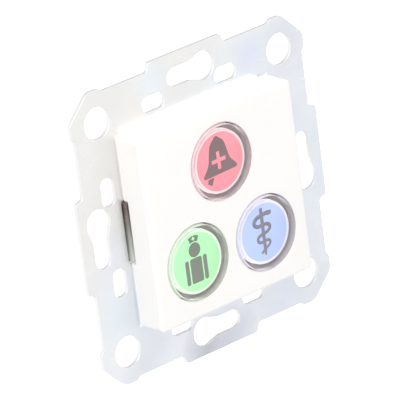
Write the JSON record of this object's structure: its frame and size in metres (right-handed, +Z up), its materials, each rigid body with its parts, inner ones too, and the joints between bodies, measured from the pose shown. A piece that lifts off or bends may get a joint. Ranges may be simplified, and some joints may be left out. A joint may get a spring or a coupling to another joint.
{
  "type": "nurse call button",
  "caption": "Square white nurse call module with round push buttons under clear caps, clipped into a flat zinc-plated steel mounting plate with keyholes and corner holes.",
  "frame": {"origin": "centre of the mounting plate's back face, in the plane of the wall", "axes": "+X to the right and +Z up as it hangs on the wall; the front faces -Y, and the buttons are pressed towards +Y"},
  "size_m": [0.071, 0.0227, 0.071],
  "materials": {
    "zinc_steel": "zinc plated and passivated, satin",
    "cover_plastic": "fine satin moulded",
    "frame_plastic": "moulded",
    "housing_plastic": "moulded",
    "clip_steel": "blued spring steel",
    "board": "solder resist",
    "led_plastic": "clear lens over phosphor",
    "terminal_plastic": "moulded",
    "clamp_metal": "tinned",
    "screw_steel": "nickel plated",
    "clear_cap": "clear moulded polycarbonate",
    "red_label": "printed film",
    "green_label": "printed film",
    "blue_label": "printed film",
    "seal_rubber": "moulded",
    "plunger_plastic": "translucent moulded",
    "spring_steel": "drawn wire",
    "switch_plastic": "moulded",
    "stem_plastic": "moulded"
  },
  "bodies": {
    "module": {"mounting_plate": "zinc_steel", "front_cover": "cover_plastic", "module_frame": "frame_plastic", "rear_housing": "housing_plastic", "left_clip": "clip_steel", "right_clip": "clip_steel", "circuit_board": "board", "indicator_leds": "led_plastic", "terminal_block": "terminal_plastic", "terminal_clamps": "clamp_metal", "terminal_screws": "screw_steel", "housing_screws": "screw_steel", "call_switch": "switch_plastic", "nurse_switch": "switch_plastic", "doctor_switch": "switch_plastic", "call_spring": "spring_steel", "nurse_spring": "spring_steel", "doctor_spring": "spring_steel"},
    "call_button": {"call_cap": "clear_cap", "call_label": "red_label", "call_seal": "seal_rubber", "call_plunger": "plunger_plastic", "call_switch_stem": "stem_plastic"},
    "nurse_button": {"nurse_cap": "clear_cap", "nurse_label": "green_label", "nurse_seal": "seal_rubber", "nurse_plunger": "plunger_plastic", "nurse_switch_stem": "stem_plastic"},
    "doctor_button": {"doctor_cap": "clear_cap", "doctor_label": "blue_label", "doctor_seal": "seal_rubber", "doctor_plunger": "plunger_plastic", "doctor_switch_stem": "stem_plastic"}
  },
  "joints": [
    {"name": "call_press", "type": "slide", "parent": "module", "child": "call_button", "axis": [0, 1, 0], "range_m": [0, 0.001], "stiffness_N_per_m": 500, "springref_m": -0.0016, "deforming": ["call_spring"]},
    {"name": "nurse_press", "type": "slide", "parent": "module", "child": "nurse_button", "axis": [0, 1, 0], "range_m": [0, 0.001], "stiffness_N_per_m": 500, "springref_m": -0.0016, "deforming": ["nurse_spring"]},
    {"name": "doctor_press", "type": "slide", "parent": "module", "child": "doctor_button", "axis": [0, 1, 0], "range_m": [0, 0.001], "stiffness_N_per_m": 500, "springref_m": -0.0016, "deforming": ["doctor_spring"]}
  ]
}
